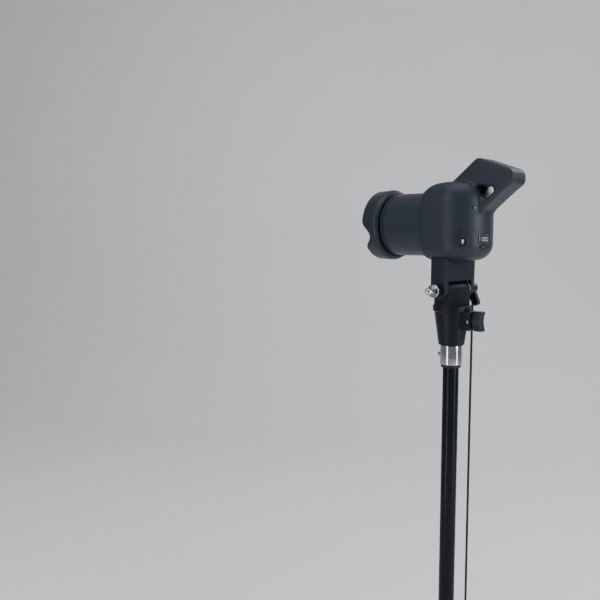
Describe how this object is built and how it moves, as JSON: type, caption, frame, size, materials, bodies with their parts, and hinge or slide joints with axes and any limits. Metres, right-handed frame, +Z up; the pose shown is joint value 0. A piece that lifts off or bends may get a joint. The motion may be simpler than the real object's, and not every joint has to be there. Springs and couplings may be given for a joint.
{
  "type": "rgb spotlight",
  "caption": "Black RGB spotlight head with a petal hood and loop handle, on a tilting clamp bracket at the top of a light stand",
  "frame": {"origin": "centre of the flat lower end of the stand tube's end bush", "axes": "+Z up along the stand tube, -Y the way the lamp shines, +X the side with the control knob"},
  "size_m": [0.1437, 0.2167, 0.8139],
  "materials": {
    "housing": "fine moulded texture",
    "bracket": "fine moulded texture",
    "knob": "smooth moulded",
    "stand_tube": "satin black",
    "chrome": "polished",
    "steel": "bright zinc",
    "aluminium": "extruded",
    "silver": "vacuum metallised",
    "rubber": "matt",
    "glass": "clear",
    "smoked": "smoked, glossy",
    "board_green": "solder mask",
    "board_white": "white solder mask",
    "emitter": "phosphor yellow",
    "nylon": "natural nylon"
  },
  "bodies": {
    "stand": {"stand_tube": "stand_tube", "tube_end_bush": "rubber", "collar_ring": "rubber", "chrome_collar": "chrome", "collar_screw": "chrome", "spigot": "steel"},
    "bracket": {"bracket_socket": "bracket", "boss_pin_near": "chrome", "boss_pin_far": "chrome", "power_cord": "rubber", "cord_coil": "rubber", "cord_tail": "rubber", "cord_tie": "rubber", "plug_grip": "rubber", "plug_barrel": "steel"},
    "clamp": {"wing_knob": "knob", "clamp_screw": "steel"},
    "head": {"neck_fork": "housing", "neck_screw_near": "steel", "neck_screw_far": "steel", "tilt_bolt": "steel", "friction_washer_near": "nylon", "friction_washer_far": "nylon", "bolt_spacer": "bracket", "nut_washer": "chrome", "dome_nut": "chrome", "housing_right": "housing", "housing_left": "housing", "case_screw_1": "steel", "case_screw_2": "steel", "case_screw_3": "steel", "case_screw_4": "steel", "front_barrel": "housing", "bayonet_ring": "bracket", "front_lens": "glass", "reflector": "silver", "led_board": "board_white", "led_emitter": "emitter", "heat_sink": "aluminium", "fan_frame": "bracket", "driver_board": "board_green", "display_window": "smoked", "display_board": "board_green", "potentiometer": "steel", "remote_sensor": "smoked", "cable_gland": "knob", "strain_relief": "rubber"},
    "lever": {"tilt_lever": "knob", "lever_screw": "steel"},
    "hood": {"petal_hood": "housing"},
    "knob": {"control_knob": "knob", "knob_shaft": "steel"},
    "button": {"power_button": "knob"},
    "fan": {"fan_rotor": "knob"}
  },
  "joints": [
    {"name": "pan", "type": "hinge", "parent": "stand", "child": "bracket", "pos_m": [0, 0, 0.5653], "axis": [0, 0, 1], "range_deg": [-180, 180]},
    {"name": "clamp_turn", "type": "hinge", "parent": "bracket", "child": "clamp", "pos_m": [0, 0.034, 0.60089], "axis": [0, 1, 0], "range_deg": [0, 360]},
    {"name": "tilt", "type": "hinge", "parent": "bracket", "child": "head", "pos_m": [0, 0, 0.6413], "axis": [1, 0, 0], "range_deg": [-60, 90]},
    {"name": "lever_turn", "type": "hinge", "parent": "head", "child": "lever", "pos_m": [-0.042, 0, 0.6413], "axis": [-1, 0, 0], "range_deg": [-90, 90]},
    {"name": "hood_twist", "type": "hinge", "parent": "head", "child": "hood", "pos_m": [0, -0.0955, 0.7303], "axis": [0, 1, 0], "range_deg": [0, 30]},
    {"name": "knob_turn", "type": "hinge", "parent": "head", "child": "knob", "pos_m": [0.03467, 0.03659, 0.7068], "axis": [0.788, 0.6157, 0], "range_deg": [-150, 150]},
    {"name": "button_press", "type": "slide", "parent": "head", "child": "button", "axis": [0.225, 0.9744, 0], "range_m": [-0.001, 0], "stiffness_N_per_m": 600},
    {"name": "fan_spin", "type": "hinge", "parent": "head", "child": "fan", "pos_m": [0, -0.006, 0.7303], "axis": [0, 1, 0], "continuous": true}
  ]
}
